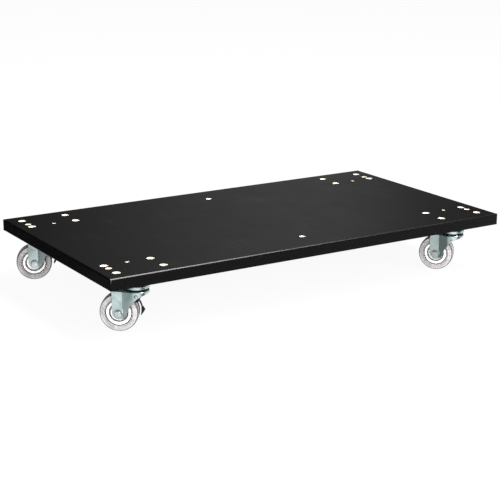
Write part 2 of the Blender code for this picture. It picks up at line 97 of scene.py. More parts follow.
# Swivel head, heights above the floor
PLATE_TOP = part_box("front_left_mount_plate")[1].z
CUP_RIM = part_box("front_left_mount_plate")[0].z
PLATE_BOTTOM = PLATE_TOP - 3 * MM
CUP_CEILING = PLATE_BOTTOM - 3.9 * MM
CUP_RADIUS = 27.5 * MM
PLATE_CORNER = 6 * MM
SCREW_PITCH = (68 * MM, 42 * MM)
SCREW_HOLE = 3 * MM
PILOT_HOLE = 2.7 * MM
BALL_HEIGHT = sum(corner.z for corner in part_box("front_left_ball_ring")) / 2
BALL_PITCH = 17 * MM
BALL_RADIUS = 3 * MM
PIN_RADIUS = 6 * MM
PIN_HEAD = 8.7 * MM
PLAY = 0.4 * MM

# Fork
SHEET = 3 * MM
CROWN_RADIUS = 27 * MM
CROWN_TOP = DECK_BOTTOM - 21 * MM
RACE_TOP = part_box("front_left_fork")[1].z
LEG_OUTER = 21 * MM
LEG_REAR = -47 * MM
LEG_CREASE = -25.7 * MM
FORK_SHARP = 13  # degrees; the legs' creases turn by 15

# Wheel and axle
AXLE = Vector(joints["front_left_wheel_spin"]["pos_m"])
SWIVEL = Vector(joints["front_left_swivel"]["pos_m"])
TRAIL = (AXLE - SWIVEL).xy.length
WHEEL_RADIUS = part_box("front_left_tyre")[1].z / 2
TYRE_INNER = 29.3 * MM
HUB_HALF = 17.4 * MM
HUB_BORE = 6.4 * MM
HEX_RADIUS = 7.5 * MM
AXLE_HOLE = 4.4 * MM
GAP = 0.3 * MM

# Brake pivot, in the caster's axes
_pivot = Vector(joints["front_left_brake_release"]["pos_m"])
BRAKE_PIVOT = Vector(((_pivot - AXLE).xy.length - TRAIL, 0, _pivot.z))
PIVOT_HOLE = 2.55 * MM
PEDAL_HALF, STRAP_HALF, TOE_HALF = 13 * MM, 4 * MM, 6 * MM


# ---------------------------------------------------------------- shapes


def work_object(mesh, name="work"):
    item = bpy.data.objects.new(name, mesh)
    bpy.context.scene.collection.objects.link(item)
    return item


def from_bmesh(bm):
    bmesh.ops.recalc_face_normals(bm, faces=bm.faces)
    mesh = bpy.data.meshes.new("shape")
    bm.to_mesh(mesh)
    bm.free()
    return mesh


def moved(mesh, matrix):
    mesh.transform(matrix)
    return mesh


def across(mesh):
    """Turns a shape made about Z so that it lies along Y."""
    return moved(mesh, Matrix.Rotation(-pi / 2, 4, "X"))


def rounded(points, step=9.0):
    """A closed outline of (x, y, radius) corners, each corner rounded by an arc to its radius."""
    result = []
    count = len(points)
    for i, (x, y, radius) in enumerate(points):
        here = Vector((x, y))
        before = Vector(points[i - 1][:2]) - here
        after = Vector(points[(i + 1) % count][:2]) - here
        if radius <= 0:
            result.append((x, y))
            continue
        turn = before.angle(after)
        if turn > radians(178):
            result.append((x, y))
            continue
        reach = radius / tan(turn / 2)
        limit = 0.49 * min(before.length, after.length)
        if reach > limit:
            radius, reach = radius * limit / reach, limit
        a = here + before.normalized() * reach
        b = here + after.normalized() * reach
        middle = here + (before.normalized() + after.normalized()).normalized() * radius / sin(turn / 2)
        sweep = pi - turn
        pieces = max(2, round(degrees(sweep) / step))
        start = a - middle
        sign = 1 if start.x * (b - middle).y - start.y * (b - middle).x > 0 else -1
        for k in range(pieces + 1):
            angle = sign * sweep * k / pieces
            c, s = cos(angle), sin(angle)
            result.append((middle.x + start.x * c - start.y * s, middle.y + start.x * s + start.y * c))
    return result


def arc(x, y, radius, start, end, count):
    """Points of an arc, from one angle to another in degrees."""
    angles = [radians(start + (end - start) * i / count) for i in range(count + 1)]
    return [(x + radius * cos(a), y + radius * sin(a)) for a in angles]


def prism(outline, low, high):
    """A flat outline in XY made a solid between two heights."""
    bm = bmesh.new()
    face = bm.faces.new([bm.verts.new((x, y, low)) for x, y in outline])
    grown = bmesh.ops.extrude_face_region(bm, geom=[face])["geom"]
    verts = [part for part in grown if isinstance(part, bmesh.types.BMVert)]
    bmesh.ops.translate(bm, verts=verts, vec=(0, 0, high - low))
    return from_bmesh(bm)


def side_prism(outline, half):
    """A flat outline in XZ made a solid from -half to +half along Y."""
    return moved(prism(outline, -half, half), Matrix.Rotation(pi / 2, 4, "X"))


def lathe(profile, steps, closed=True):
    """A profile of (radius, height) points turned about Z. An open one starts and ends on the axis."""
    bm = bmesh.new()
    rings = []
    for radius, height in profile:
        if radius < 0.001 * MM:
            rings.append([bm.verts.new((0, 0, height))])
            continue
        turns = [2 * pi * k / steps for k in range(steps)]
        rings.append([bm.verts.new((radius * cos(a), radius * sin(a), height)) for a in turns])
    pairs = list(zip(rings, rings[1:]))
    if closed:
        pairs.append((rings[-1], rings[0]))
    for one, two in pairs:
        for k in range(steps):
            after = (k + 1) % steps
            if len(one) == 1:
                bm.faces.new((one[0], two[k], two[after]))
            elif len(two) == 1:
                bm.faces.new((one[k], one[after], two[0]))
            else:
                bm.faces.new((one[k], one[after], two[after], two[k]))
    return from_bmesh(bm)


def rod(radius, low, high, steps=48, place=(0, 0), chamfer=0.0):
    """A cylinder; a chamfer widens its top end, as a cutter that breaks a hole's rim."""
    profile = [(0, low), (radius, low), (radius, high - chamfer), (radius + chamfer, high), (0, high)]
    if not chamfer:
        profile.pop(3)
    return moved(lathe(profile, steps, closed=False), Matrix.Translation((*place, 0)))


def joined(meshes):
    """Several meshes as one, not merged."""
    bm = bmesh.new()
    for mesh in meshes:
        bm.from_mesh(mesh)
        bpy.data.meshes.remove(mesh)
    return from_bmesh(bm)


def evaluated(item):
    """The mesh of a work object after its modifiers; the object and its own mesh are removed."""
    bpy.context.view_layer.update()
    graph = bpy.context.evaluated_depsgraph_get()
    mesh = bpy.data.meshes.new_from_object(item.evaluated_get(graph))
    source = item.data
    bpy.data.objects.remove(item)
    bpy.data.meshes.remove(source)
    return mesh


def combine(mesh, other, operation):
    item, tool = work_object(mesh), work_object(other)
    change = item.modifiers.new("combine", "BOOLEAN")
    change.operation = operation
    change.solver = "EXACT"
    change.object = tool
    result = evaluated(item)
    bpy.data.objects.remove(tool)
    bpy.data.meshes.remove(other)
    return result


def cut(mesh, *others):
    for other in others:
        mesh = combine(mesh, other, "DIFFERENCE")
    return mesh


def joined_to(mesh, *others):
    for other in others:
        mesh = combine(mesh, other, "UNION")
    return mesh


def cleaned(mesh):
    """The mesh without the slivers that cutting and joining leave."""
    bm = bmesh.new()
    bm.from_mesh(mesh)
    bmesh.ops.remove_doubles(bm, verts=bm.verts, dist=SLIVER)
    bmesh.ops.dissolve_degenerate(bm, edges=bm.edges, dist=SLIVER)
    bpy.data.meshes.remove(mesh)
    return from_bmesh(bm)


def softened(mesh, width, segments=3, angle=40):
    """The mesh with its sharp edges rounded."""
    bm = bmesh.new()
    bm.from_mesh(mesh)
    bmesh.ops.remove_doubles(bm, verts=bm.verts, dist=0.005 * MM)
    bmesh.ops.dissolve_limit(bm, angle_limit=radians(0.5), verts=bm.verts, edges=bm.edges)
    bpy.data.meshes.remove(mesh)
    item = work_object(from_bmesh(bm))
    bevel = item.modifiers.new("soften", "BEVEL")
    bevel.width = width
    bevel.segments = segments
    bevel.limit_method = "ANGLE"
    bevel.angle_limit = radians(angle)
    return evaluated(item)


def rim_rounded(mesh, wanted, width, segments):
    """The mesh with the edges that wanted(edge) picks rounded."""
    bm = bmesh.new()
    bm.from_mesh(mesh)
    edges = [edge for edge in bm.edges if wanted(edge)]
    bmesh.ops.bevel(bm, geom=edges, offset=width, segments=segments, profile=0.5, affect="EDGES")
    bpy.data.meshes.remove(mesh)
    return from_bmesh(bm)


def box_mesh(low, high):
    bm = bmesh.new()
    low, high = Vector(low), Vector(high)
    matrix = Matrix.Translation((low + high) / 2) @ Matrix.Diagonal((*(high - low), 1))
    bmesh.ops.create_cube(bm, size=1, matrix=matrix)
    return from_bmesh(bm)


def piece(name, mesh, body, node, material, matrix=None, sharp=30):
    """One visible piece: it stands for its CAD node and rides on that node's body."""
    item = bpy.data.objects.new(name, mesh)
    bpy.context.scene.collection.objects.link(item)
    item.matrix_world = matrix or Matrix.Identity(4)
    if not mesh.materials:
        mesh.shade_smooth()
        mesh.set_sharp_from_angle(angle=radians(sharp))
        mesh.materials.append(material)
    weigh = item.modifiers.new("even_normals", "WEIGHTED_NORMAL")
    weigh.keep_sharp = True
    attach(item, body)
    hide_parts(node)
    return item


# ---------------------------------------------------------------- materials


class Shader:
    """Short calls that build one node material."""

    def __init__(self, name):
        self.material = bpy.data.materials.new(name)
        self.material.use_nodes = True
        self.nodes = self.material.node_tree.nodes
        self.links = self.material.node_tree.links
        self.surface = self.nodes["Principled BSDF"]
        self.place = self.add("ShaderNodeTexCoord").outputs["Object"]

    def add(self, kind, **inputs):
        node = self.nodes.new(kind)
        for name, value in inputs.items():
            self.set(node.inputs[name.replace("_", " ")], value)
        return node

    def set(self, socket, value):
        if isinstance(value, bpy.types.NodeSocket):
            self.links.new(value, socket)
        elif socket.type == "RGBA":
            socket.default_value = (*value, 1.0)
        else:
            socket.default_value = value

    def stretched(self, scale, turn=0.0):
        node = self.add("ShaderNodeMapping", Vector=self.place, Scale=scale)
        node.inputs["Rotation"].default_value = (0, 0, turn)
        return node.outputs["Vector"]

    def noise(self, scale, detail=3.0, roughness=0.5, vector=None, distortion=0.0):
        node = self.add(
            "ShaderNodeTexNoise",
            Vector=vector or self.place,
            Scale=scale,
            Detail=detail,
            Roughness=roughness,
            Distortion=distortion,
        )
        return node.outputs["Fac"]

    def cells(self, scale, vector=None):
        node = self.add("ShaderNodeTexVoronoi", Vector=vector or self.place, Scale=scale)
        return node.outputs["Distance"]

    def between(self, value, low, high, to_low=0.0, to_high=1.0):
        """The value's range low..high spread over to_low..to_high, and held outside it."""
        node = self.add("ShaderNodeMapRange", Value=value)
        node.inputs["From Min"].default_value = low
        node.inputs["From Max"].default_value = high
        node.inputs["To Min"].default_value = to_low
        node.inputs["To Max"].default_value = to_high
        return node.outputs["Result"]

    def calc(self, operation, a, b=0.0):
        node = self.nodes.new("ShaderNodeMath")
        node.operation = operation
        self.set(node.inputs[0], a)
        self.set(node.inputs[1], b)
        return node.outputs[0]

    def mix(self, share, a, b):
        node = self.nodes.new("ShaderNodeMix")
        node.data_type = "RGBA"
        self.set(node.inputs["Factor"], share)
        self.set(node.inputs[6], a)
        self.set(node.inputs[7], b)
        return node.outputs[2]

    def bump(self, height, distance, strength=1.0, normal=None):
        node = self.add("ShaderNodeBump", Height=height, Distance=distance, Strength=strength)
        if normal:
            self.set(node.inputs["Normal"], normal)
        return node.outputs["Normal"]

    def soft_edges(self, radius):
        """Normals rounded over the mesh's edges."""
        node = self.add("ShaderNodeBevel", Radius=radius)
        node.samples = 4
        return node.outputs["Normal"]

    def crease(self, distance):
        """0 in corners and gaps, 1 in the open."""
        node = self.add("ShaderNodeAmbientOcclusion", Distance=distance)
        node.samples = 4
        return node.outputs["AO"]

    def own_number(self):
        """A number from 0 to 1 that differs from object to object."""
        return self.add("ShaderNodeObjectInfo").outputs["Random"]

    def wheel_radius(self):
        """Distance from the axle, for a piece whose own Y is the axle."""
        flat = self.add("ShaderNodeVectorMath", Vector=self.place)
        flat.operation = "MULTIPLY"
        flat.inputs[1].default_value = (1, 0, 1)
        length = self.nodes.new("ShaderNodeVectorMath")
        length.operation = "LENGTH"
        self.links.new(flat.outputs["Vector"], length.inputs[0])
        return length.outputs["Value"]

    def finish(self, **inputs):
        for name, value in inputs.items():
            self.set(self.surface.inputs[name.replace("_", " ")], value)
        return self.material


def scratches(shader, length_scale, width_scale, turn, amount):
    """Fine hairlines along one direction: 1 on a scratch."""
    lines = shader.noise(1.0, 2.0, 0.4, shader.stretched((length_scale, width_scale, 1), turn))
    patches = shader.between(shader.noise(9.0, 2.0), 0.5, 0.62)
    return shader.calc("MULTIPLY", shader.between(lines, 1 - amount, 1 - amount + 0.04), patches)


def laminate():
    """Black melamine film: fine pearl grain, faint cloudiness, hairlines and a little dust."""
    s = Shader("black_laminate")
    cloud = s.noise(5.0, 4.0, 0.6)
    hairs = s.calc("MAXIMUM", scratches(s, 6, 900, 0.35, 0.34), scratches(s, 900, 5, -0.2, 0.34))
    specks = s.between(s.noise(1400.0, 2.0, 0.6), 0.66, 0.78)
    base = s.mix(s.between(cloud, 0.35, 0.65), (0.0007, 0.0007, 0.0008), (0.0011, 0.0010, 0.0011))
    base = s.mix(s.calc("MULTIPLY", hairs, 0.25), base, (0.04, 0.04, 0.04))
    base = s.mix(s.calc("MULTIPLY", specks, 0.15), base, (0.08, 0.078, 0.075))
    rough = s.between(s.noise(14.0, 5.0, 0.6), 0.3, 0.7, 0.36, 0.40)
    rough = s.calc("SUBTRACT", rough, s.calc("MULTIPLY", hairs, 0.1))
    grain = s.bump(s.noise(1700.0, 3.0, 0.55), 0.05 * MM, 0.35)
    grain = s.bump(hairs, -0.02 * MM, 0.5, grain)
    return s.finish(Base_Color=base, Roughness=rough, Normal=grain, Specular_IOR_Level=0.16)


def edging(name, along):
    """Black plastic edge band: drawn streaks along its length, and a smoother rounded edge."""
    s = Shader(name)
    scale = [700.0, 700.0, 700.0]
    scale["XY".index(along)] = 3.0
    streaks = s.noise(1.0, 4.0, 0.6, s.stretched(scale))
    cloud = s.noise(22.0, 4.0, 0.6)
    scuffs = s.between(s.noise(120.0, 4.0, 0.7, distortion=1.5), 0.68, 0.75)
    base = s.mix(cloud, (0.0010, 0.0010, 0.0011), (0.0016, 0.0016, 0.0017))
    base = s.mix(s.calc("MULTIPLY", scuffs, 0.12), base, (0.07, 0.07, 0.07))
    rough = s.calc("ADD", s.between(streaks, 0.3, 0.7, 0.24, 0.34), s.calc("MULTIPLY", scuffs, 0.2))
    return s.finish(
        Base_Color=base,
        Roughness=rough,
        Normal=s.bump(streaks, 0.03 * MM, 0.4),
        Specular_IOR_Level=0.35,
    )


def raw_board():
    """Cut wood-based board in the drilled holes: pale chips, a few darker ones, a rough bore."""
    s = Shader("raw_board")
    chips = s.cells(420.0)
    fibres = s.noise(900.0, 5.0, 0.65, s.stretched((1, 1, 3)))
    dark = s.between(s.noise(260.0, 3.0, 0.6), 0.58, 0.7)
    base = s.mix(fibres, (1.0, 0.95, 0.84), (0.97, 0.87, 0.72))
    base = s.mix(s.calc("MULTIPLY", dark, 0.25), base, (0.62, 0.43, 0.25))
    height = s.calc("ADD", chips, fibres)
    return s.finish(Base_Color=base, Roughness=0.8, Normal=s.bump(height, 0.15 * MM, 0.6))


def zinc(name="zinc_sheet", rough_low=0.20, rough_high=0.38):
    """Blue-clear passivated zinc on pressed sheet: cloudy tint, rolling grain, softened edge normals,
    and painted shade that darkens its creases and gaps.
    """
    s = Shader(name)
    shift = s.calc("MULTIPLY", s.own_number(), 3.0)
    place = s.add("ShaderNodeVectorMath", Vector=s.place).outputs["Vector"]
    place.node.operation = "ADD"
    s.set(place.node.inputs[1], s.add("ShaderNodeCombineXYZ", X=shift, Y=shift, Z=shift).outputs[0])
    cloud = s.noise(38.0, 4.0, 0.6, place, 0.6)
    tint = s.noise(16.0, 3.0, 0.5, place)
    grain = s.noise(1.0, 4.0, 0.6, s.stretched((260, 260, 2600)))
    base = s.mix(s.between(cloud, 0.35, 0.65), (0.46, 0.61, 0.60), (0.66, 0.78, 0.77))
    base = s.mix(s.between(tint, 0.5, 0.72, 0.0, 0.5), base, (0.68, 0.69, 0.72))
    # Painted shade: the base darkens to near black in creases and gaps, where the cups and forks fall
    # into shade.
    painted_crease_shade = s.between(s.crease(8 * MM), 0.3, 0.85)
    base = s.mix(painted_crease_shade, (0.06, 0.08, 0.08), base)
    rough = s.between(cloud, 0.3, 0.7, rough_high, rough_low)
    rough = s.calc("ADD", rough, s.between(s.noise(420.0, 4.0, 0.7), 0.5, 0.8, 0.0, 0.14))
    normal = s.bump(grain, 0.02 * MM, 0.35, s.soft_edges(0.5 * MM))
    normal = s.bump(s.noise(70.0, 2.0), 0.25 * MM, 0.25, normal)
    return s.finish(Base_Color=base, Metallic=1.0, Roughness=rough, Normal=normal)


def steel(name, base_low, base_high, rough_low, rough_high):
    """Turned or headed steel: fine rings of tool marks and a cloudy film."""
    s = Shader(name)
    cloud = s.noise(160.0, 4.0, 0.6)
    marks = s.noise(1.0, 3.0, 0.5, s.stretched((900, 900, 3800)))
    base = s.mix(s.between(cloud, 0.3, 0.7), base_low, base_high)
    rough = s.between(cloud, 0.3, 0.7, rough_high, rough_low)
    normal = s.bump(marks, 0.02 * MM, 0.3, s.soft_edges(0.3 * MM))
    return s.finish(Base_Color=base, Metallic=1.0, Roughness=rough, Normal=normal)


def rim_plastic():
    """White moulded plastic: soft flow marks, a satin skin, dust specks, and painted shade in the
    grooves.
    """
    s = Shader("white_plastic")
    flow = s.noise(30.0, 3.0, 0.5, distortion=2.0)
    dust = s.between(s.noise(240.0, 5.0, 0.7), 0.5, 0.8, 0.0, 0.22)
    # Painted shade: the grooves and gaps darken to dark grey, where shade falls in them.
    painted_groove_shade = s.between(s.crease(5 * MM), 0.35, 0.95)
    base = s.mix(s.between(flow, 0.3, 0.7), (0.86, 0.86, 0.85), (0.92, 0.92, 0.91))
    base = s.mix(dust, base, (0.62, 0.60, 0.57))
    base = s.mix(painted_groove_shade, (0.16, 0.15, 0.145), base)
    rough = s.between(s.noise(90.0, 4.0), 0.3, 0.7, 0.32, 0.48)
    normal = s.bump(s.noise(1200.0, 2.0), 0.02 * MM, 0.3, s.soft_edges(0.3 * MM))
    return s.finish(Base_Color=base, Roughness=rough, Normal=normal)


def tyre_rubber():
    """Light warm-grey rubber: mottled sides, a duller scuffed tread, a painted shade ring just inside
    the tread's edge, and painted shade along the rim.
    """
    s = Shader("grey_tyre")
    radius = s.wheel_radius()
    tread = s.between(radius, WHEEL_RADIUS - 1.2 * MM, WHEEL_RADIUS - 0.2 * MM)
    mottle = s.noise(75.0, 5.0, 0.65, distortion=0.8)
    fine = s.noise(900.0, 3.0, 0.6)
    base = s.mix(s.between(mottle, 0.3, 0.7), (0.22, 0.21, 0.215), (0.52, 0.505, 0.515))
    scuffs = s.between(s.noise(300.0, 5.0, 0.75), 0.45, 0.7)
    worn = s.mix(scuffs, (0.44, 0.425, 0.42), (0.28, 0.27, 0.265))
    base = s.mix(tread, base, worn)
    # Painted shade: a dark ring just inside the tread's edge, fading at the very edge, stands in for the
    # shade round the wheel's outline.
    painted_outline_shade = s.between(radius, WHEEL_RADIUS - 2.6 * MM, WHEEL_RADIUS - 1.9 * MM, 0.0, 0.9)
    painted_shade_fade = s.between(radius, WHEEL_RADIUS - 0.5 * MM, WHEEL_RADIUS, 1.0, 0.3)
    base = s.mix(s.calc("MULTIPLY", painted_outline_shade, painted_shade_fade), base, (0.06, 0.057, 0.057))
    # Painted shade: darker where the tyre meets the rim and in other gaps.
    base = s.mix(s.between(s.crease(4 * MM), 0.3, 0.9), (0.22, 0.21, 0.20), base)
    rough = s.calc("ADD", s.between(fine, 0.3, 0.7, 0.5, 0.66), s.calc("MULTIPLY", tread, 0.15))
    height = s.calc("ADD", fine, s.calc("MULTIPLY", s.calc("MULTIPLY", scuffs, tread), 2.0))
    return s.finish(Base_Color=base, Roughness=rough, Normal=s.bump(height, 0.05 * MM, 0.5))


def pedal_plastic():
    """Black moulded plastic with a fine eroded texture, rubbed paler where a foot lands."""
    s = Shader("black_plastic")
    texture = s.noise(1300.0, 3.0, 0.6)
    rub = s.between(s.noise(110.0, 4.0, 0.6), 0.52, 0.75)
    base = s.mix(s.noise(40.0, 3.0), (0.003, 0.003, 0.003), (0.005, 0.005, 0.005))
    base = s.mix(s.calc("MULTIPLY", rub, 0.2), base, (0.03, 0.03, 0.03))
    rough = s.between(texture, 0.3, 0.7, 0.42, 0.6)
    normal = s.bump(texture, 0.05 * MM, 0.5, s.soft_edges(0.4 * MM))
    return s.finish(Base_Color=base, Roughness=rough, Normal=normal, Specular_IOR_Level=0.25)


def studio_floor():
    """A pale floor that looks almost evenly white, with only faint shadows on it."""
    s = Shader("studio_floor")
    base = s.mix(s.noise(3.0, 4.0), (0.52, 0.52, 0.52), (0.56, 0.56, 0.56))
    lit = s.add("ShaderNodeEmission", Color=(1, 1, 1), Strength=1.0).outputs["Emission"]
    evenness = s.calc("MULTIPLY", s.add("ShaderNodeLightPath").outputs["Is Camera Ray"], 0.94)
    mixed = s.add("ShaderNodeMixShader", Fac=evenness)
    s.finish(Base_Color=base, Roughness=0.75, Specular_IOR_Level=0.1)
    s.links.new(s.surface.outputs["BSDF"], mixed.inputs[1])
    s.links.new(lit, mixed.inputs[2])
    s.links.new(mixed.outputs["Shader"], s.nodes["Material Output"].inputs["Surface"])
    return s.material


# ---------------------------------------------------------------- deck


def deck_holes():
    """Every hole drilled through the deck: x, y, radius."""
    holes = []
    for side_y in (-1, 1):
        for side_x in (-1, 1):
            for from_end, from_side, radius in CORNER_HOLES:
                x = side_x * (LENGTH / 2 - from_end)
                y = side_y * (WIDTH / 2 - from_side)
                holes.append((x, y, radius))
        holes.append((0, side_y * (WIDTH / 2 - MIDDLE_HOLE[0]), MIDDLE_HOLE[1]))
    return holes


def screw_places():
    """Where the mount plates' screws stand, caster by caster."""
    for caster in CASTERS:
        x, y, _ = joints[caster + "_swivel"]["pos_m"]
        corners = ((1, 1), (1, -1), (-1, -1), (-1, 1))
        yield caster, [(x + i * SCREW_PITCH[0] / 2, y + j * SCREW_PITCH[1] / 2) for i, j in corners]


def sheet(node, upside, drilled_for_screws):
    """One layer of the deck, with the drilled holes' rims broken on its outer face."""
    low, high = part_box(node)
    middle = (low.z + high.z) / 2
    reach = (high.z - low.z) / 2
    flip = Matrix.Translation((0, 0, middle)) @ Matrix.Diagonal((1, 1, upside, 1))
    flip = flip @ Matrix.Translation((0, 0, -middle))
    over = reach + 0.1 * MM
    chamfer = HOLE_CHAMFER if reach < MM else 0.0
    cutters = [rod(r, middle - over, middle + over, 48, (x, y), chamfer) for x, y, r in deck_holes()]
    if drilled_for_screws:
        for _, places in screw_places():
            cutters += [rod(PILOT_HOLE, middle - over, middle + over, 16, at) for at in places]
    tool = moved(joined(cutters), flip)
    return cut(box_mesh(low, high), tool)


def edge_band(node, thin):
    """A band with a rounded outer rim; thin is the axis across it."""
    low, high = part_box(node)
    outward = 1 if low[thin] > 0 else -1
    face = high[thin] if outward > 0 else low[thin]

    def outer_rim(edge):
        return all(abs(v.co[thin] - face) < 0.01 * MM for v in edge.verts)

    return rim_rounded(box_mesh(low, high), outer_rim, EDGE_ROUND, 9)


def add_deck():
    film = laminate()
    board = raw_board()
    top = sheet("top_laminate", 1, False)
    underside = sheet("underside_laminate", -1, True)
    core = sheet("deck_core", 1, False)
    piece("deck_top_film", top, "deck", "top_laminate", film)
    piece("deck_underside_film", underside, "deck", "underside_laminate", film)
    piece("deck_board", core, "deck", "deck_core", board)
    long_edge = edging("black_edging_long", "X")
    end_edge = edging("black_edging_ends", "Y")
    for side, thin, material in (
        ("front", 1, long_edge),
        ("rear", 1, long_edge),
        ("left", 0, end_edge),
        ("right", 0, end_edge),
    ):
        node = "edge_band_" + side
        band = edge_band(node, thin)
        piece(side + "_edge_strip", band, "deck", node, material, sharp=50)


# ---------------------------------------------------------------- swivel head


def mount_plate():
    """Plate with rounded corners, a pressed cup with a rolled rim, screw holes and the pin's seat."""
    low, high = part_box("front_left_mount_plate")
    x, y = (high.x - low.x) / 2, (high.y - low.y) / 2
    corners = ((-x, -y), (x, -y), (x, y), (-x, y))
    outline = rounded([(*corner, PLATE_CORNER) for corner in corners])
    plate = softened(prism(outline, PLATE_BOTTOM, PLATE_TOP), 0.5 * MM)
    wall = 2.4 * MM
    cup = lathe(
        rounded(
            [
                (PIN_RADIUS, PLATE_BOTTOM + MM, 0),
                (CUP_RADIUS - 5 * MM, PLATE_BOTTOM + MM, 0),
                (CUP_RADIUS - 5 * MM, PLATE_BOTTOM - MM, 1.5 * MM),
                (CUP_RADIUS, CUP_RIM + 6 * MM, 3 * MM),
                (CUP_RADIUS, CUP_RIM, 0.9 * MM),
                (CUP_RADIUS - wall, CUP_RIM, 0.9 * MM),
                (CUP_RADIUS - wall, CUP_RIM + 5 * MM, 2 * MM),
                (CUP_RADIUS - 6 * MM, CUP_CEILING, 1.5 * MM),
                (PIN_RADIUS, CUP_CEILING, 0),
            ]
        ),
        96,
    )
    bore = rod(PIN_RADIUS + PLAY, CUP_RIM, PLATE_TOP + MM, 48)
    seat = rod(PIN_HEAD + PLAY, PLATE_TOP - 2 * MM, PLATE_TOP + MM, 48)
    mesh = cut(joined_to(plate, cup), bore, seat)
    for i in (-1, 1):
        for j in (-1, 1):
            at = (i * SCREW_PITCH[0] / 2, j * SCREW_PITCH[1] / 2)
            mesh = cut(mesh, rod(SCREW_HOLE, PLATE_BOTTOM - MM, PLATE_TOP + MM, 32, at))
    return cleaned(mesh)


def ball_ring():
    """Bearing balls in a thin cage."""
    half = 1.7 * MM
    rise = 0.9 * MM
    cage = lathe(
        rounded(
            [
                (BALL_PITCH - half, BALL_HEIGHT + rise, 0.4 * MM),
                (BALL_PITCH + half, BALL_HEIGHT + rise, 0.4 * MM),
                (BALL_PITCH + half, BALL_HEIGHT - rise, 0.4 * MM),
                (BALL_PITCH - half, BALL_HEIGHT - rise, 0.4 * MM),
            ],
            30,
        ),
        64,
    )
    bm = bmesh.new()
    for i in range(8):
        at = Matrix.Rotation(2 * pi * i / 8, 4, "Z") @ Vector((BALL_PITCH, 0, BALL_HEIGHT))
        bmesh.ops.create_uvsphere(
            bm, u_segments=20, v_segments=12, radius=BALL_RADIUS, matrix=Matrix.Translation(at)
        )
    return joined_to(cage, from_bmesh(bm))


def kingpin():
    """A rivet with a flat head above and a domed one below."""
    low = CROWN_TOP - SHEET - GAP
    top = PLATE_TOP - GAP
    seat = PLATE_TOP - 1.7 * MM
    dome = arc(0, low + 6 * MM, 8.4 * MM, -40, -90, 8)
    profile = [
        (0, top),
        (PIN_HEAD - 0.4 * MM, top),
        (PIN_HEAD, top - 0.4 * MM),
        (PIN_HEAD, seat),
        (PIN_RADIUS, seat),
        (PIN_RADIUS, low),
        (PIN_HEAD - 0.5 * MM, low),
        (PIN_HEAD, low - 0.5 * MM),
        *[(max(0.0, r), max(z, low - 2.2 * MM)) for r, z in dome],
    ]
    return lathe(profile, 48, closed=False)


def mount_screw():
    """A pan-head wood screw with a cross recess, pointing up, its origin under the plate."""
    low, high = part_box("front_left_screw_1")
    head = (high.x - low.x) / 2
    seat = -GAP
    drop = low.z - PLATE_BOTTOM
    length = high.z - PLATE_BOTTOM
    shank = 2.0 * MM
    turns = [(shank + (0.5 * MM if k % 2 else 0), length - 5 * MM - k * 0.75 * MM) for k in range(15)]
    profile = [
        (0, length),
        (0.7 * MM, length - 2 * MM),
        *turns,
        (shank, seat),
        (head - 0.3 * MM, seat),
        (head, seat - 0.3 * MM),
        (head - 0.2 * MM, drop + 1.2 * MM),
        (head - 1.2 * MM, drop + 0.3 * MM),
        (0, drop),
    ]
    mesh = lathe(profile, 24, closed=False)
    arm, half = 2.3 * MM, 0.5 * MM
    floor, deep = drop - MM, drop + 1.5 * MM
    bars = (
        box_mesh((-arm, -half, floor), (arm, half, deep)),
        box_mesh((-half, -arm, floor), (half, arm, deep)),
    )
    return cut(mesh, *bars)


# ---------------------------------------------------------------- fork


def fork_plan(radius, half, rear):
    """The shell seen from above: straight legs, then flared tangents onto the round crown."""
    reach = hypot(LEG_CREASE, half)
    touch = degrees(atan2(half, LEG_CREASE) - acos(radius / reach))
    front = arc(0, 0, radius, -touch, touch, 40)
    return [(rear, -half), (LEG_CREASE, -half), *front, (LEG_CREASE, half), (rear, half)]


def fork_side():
    """The shell seen from the side: round leg ends, and a skirt that rises to the crown's front."""
    leg_end = arc(-31.5 * MM, 43 * MM, 15.5 * MM, 180, 350, 40)
    skirt = rounded(
        [
            (*leg_end[-1], 0),
            (-11 * MM, 54.5 * MM, 30 * MM),
            (-4.8 * MM, 62.4 * MM, 30 * MM),
            (2.5 * MM, 71 * MM, 30 * MM),
            (11 * MM, 77.5 * MM, 30 * MM),
            (32 * MM, 83.5 * MM, 0),
        ]
    )
    over = RACE_TOP + 2 * MM
    return [(LEG_REAR, over), *leg_end, *skirt[1:], (32 * MM, over)]


def crown_rounded(mesh, top, rear, width, segments):
    """Rounds the edge where the flat crown turns down into the walls, but not the open rear."""

    def rim(edge):
        ends = [v.co for v in edge.verts]
        level = all(abs(p.z - top) < 0.01 * MM for p in ends)
        return level and not all(abs(p.x - rear) < 0.01 * MM for p in ends)

    return rim_rounded(mesh, rim, width, segments)


